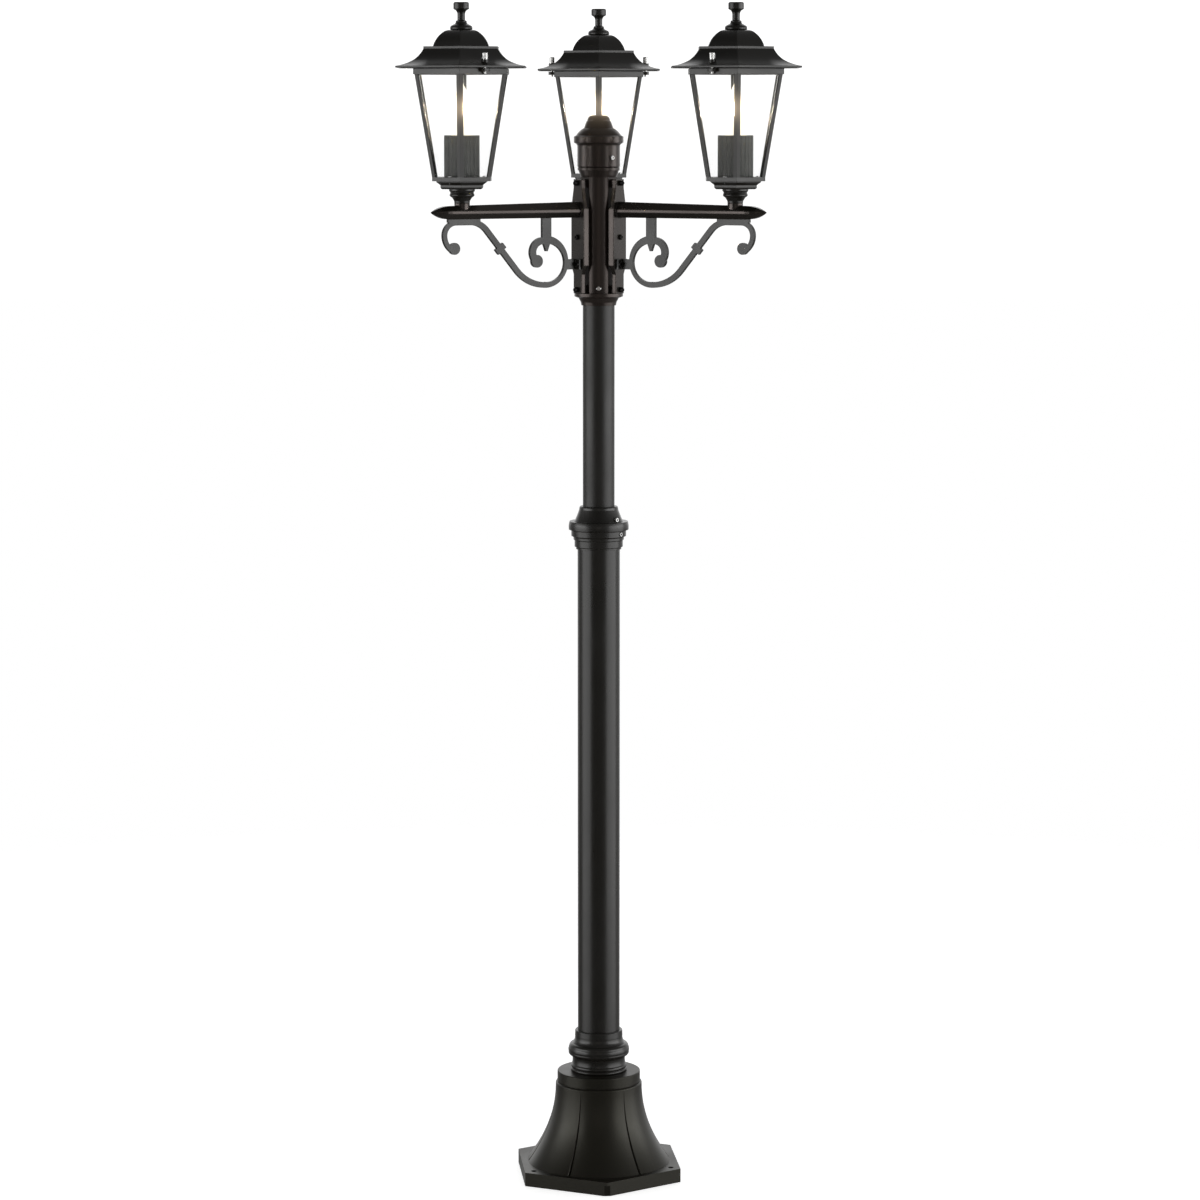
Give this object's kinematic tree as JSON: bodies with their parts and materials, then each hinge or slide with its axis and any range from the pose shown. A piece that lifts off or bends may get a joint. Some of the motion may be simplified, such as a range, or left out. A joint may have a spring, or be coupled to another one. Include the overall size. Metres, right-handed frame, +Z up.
{
  "type": "triple head lamp post",
  "caption": "Garden lamp post: hexagonal bell base, stepped round pole, scroll-bracketed arms and glazed six-sided lanterns with lift-off roofs and turning bulbs.",
  "frame": {"origin": "on the pole's axis at the underside of the foot plate, the centre of the anchor holes", "axes": "+Z up along the pole; +Y towards the rear arm; +X to the right seen from the front"},
  "size_m": [0.6158, 0.59, 1.8659],
  "materials": {
    "black_coat": "satin powder coat",
    "zinc_steel": "zinc plated",
    "bright_screws": "bright",
    "dark_bolts": "blackened",
    "terminal_plastic": "matte",
    "seal_rubber": "matte",
    "pane_glass": "clear",
    "porcelain": "glazed",
    "bulb_cap_metal": "nickel plated",
    "bulb_glass": "warm clear"
  },
  "bodies": {
    "post": {"base_casting": "black_coat", "bottom_collar": "black_coat", "lower_pole": "black_coat", "coupling": "black_coat", "coupling_cone": "black_coat", "upper_pole": "black_coat", "hub": "black_coat", "arm_left": "black_coat", "arm_right": "black_coat", "arm_rear": "black_coat", "scroll_left": "black_coat", "scroll_right": "black_coat", "scroll_rear": "black_coat", "lantern_base_left": "black_coat", "lantern_base_right": "black_coat", "lantern_base_rear": "black_coat", "cage_left": "black_coat", "cage_right": "black_coat", "cage_rear": "black_coat", "lamp_sleeve_left": "black_coat", "lamp_sleeve_right": "black_coat", "lamp_sleeve_rear": "black_coat", "base_tie": "zinc_steel", "hex_nuts": "zinc_steel", "nipples": "zinc_steel", "terminal_plate": "zinc_steel", "pole_plug": "zinc_steel", "set_screws": "bright_screws", "ear_screws": "bright_screws", "scroll_screws": "bright_screws", "small_screws": "bright_screws", "arm_bolts": "dark_bolts", "terminal_block": "terminal_plastic", "roof_seals": "seal_rubber", "glass_panes_left": "pane_glass", "glass_panes_right": "pane_glass", "glass_panes_rear": "pane_glass", "lampholder_left": "porcelain", "lampholder_right": "porcelain", "lampholder_rear": "porcelain"},
    "hub_cap": {"hub_cap": "black_coat", "cap_screw": "bright_screws"},
    "roof_left": {"roof_left": "black_coat", "finial_left": "black_coat"},
    "thumb_screw_left_a": {"thumb_screw_left_a": "bright_screws"},
    "thumb_screw_left_b": {"thumb_screw_left_b": "bright_screws"},
    "bulb_left": {"bulb_cap_left": "bulb_cap_metal", "bulb_glass_left": "bulb_glass"},
    "roof_right": {"roof_right": "black_coat", "finial_right": "black_coat"},
    "thumb_screw_right_a": {"thumb_screw_right_a": "bright_screws"},
    "thumb_screw_right_b": {"thumb_screw_right_b": "bright_screws"},
    "bulb_right": {"bulb_cap_right": "bulb_cap_metal", "bulb_glass_right": "bulb_glass"},
    "roof_rear": {"roof_rear": "black_coat", "finial_rear": "black_coat"},
    "thumb_screw_rear_a": {"thumb_screw_rear_a": "bright_screws"},
    "thumb_screw_rear_b": {"thumb_screw_rear_b": "bright_screws"},
    "bulb_rear": {"bulb_cap_rear": "bulb_cap_metal", "bulb_glass_rear": "bulb_glass"}
  },
  "joints": [
    {"name": "cap_lift", "type": "slide", "parent": "post", "child": "hub_cap", "axis": [0, 0, 1], "range_m": [0, 0.08]},
    {"name": "roof_lift_left", "type": "slide", "parent": "post", "child": "roof_left", "axis": [0, 0, 1], "range_m": [0, 0.12]},
    {"name": "thumb_turn_left_a", "type": "hinge", "parent": "roof_left", "child": "thumb_screw_left_a", "pos_m": [-0.17158, -0.18682, 1.7785], "axis": [0, 0, 1], "continuous": true},
    {"name": "thumb_turn_left_b", "type": "hinge", "parent": "roof_left", "child": "thumb_screw_left_b", "pos_m": [-0.24758, -0.05518, 1.7785], "axis": [0, 0, 1], "continuous": true},
    {"name": "bulb_turn_left", "type": "hinge", "parent": "post", "child": "bulb_left", "pos_m": [-0.20958, -0.121, 1.648], "axis": [0, 0, 1], "continuous": true},
    {"name": "roof_lift_right", "type": "slide", "parent": "post", "child": "roof_right", "axis": [0, 0, 1], "range_m": [0, 0.12]},
    {"name": "thumb_turn_right_a", "type": "hinge", "parent": "roof_right", "child": "thumb_screw_right_a", "pos_m": [0.24758, -0.05518, 1.7785], "axis": [0, 0, 1], "continuous": true},
    {"name": "thumb_turn_right_b", "type": "hinge", "parent": "roof_right", "child": "thumb_screw_right_b", "pos_m": [0.17158, -0.18682, 1.7785], "axis": [0, 0, 1], "continuous": true},
    {"name": "bulb_turn_right", "type": "hinge", "parent": "post", "child": "bulb_right", "pos_m": [0.20958, -0.121, 1.648], "axis": [0, 0, 1], "continuous": true},
    {"name": "roof_lift_rear", "type": "slide", "parent": "post", "child": "roof_rear", "axis": [0, 0, 1], "range_m": [0, 0.12]},
    {"name": "thumb_turn_rear_a", "type": "hinge", "parent": "roof_rear", "child": "thumb_screw_rear_a", "pos_m": [-0.076, 0.242, 1.7785], "axis": [0, 0, 1], "continuous": true},
    {"name": "thumb_turn_rear_b", "type": "hinge", "parent": "roof_rear", "child": "thumb_screw_rear_b", "pos_m": [0.076, 0.242, 1.7785], "axis": [0, 0, 1], "continuous": true},
    {"name": "bulb_turn_rear", "type": "hinge", "parent": "post", "child": "bulb_rear", "pos_m": [0, 0.242, 1.648], "axis": [0, 0, 1], "continuous": true}
  ]
}
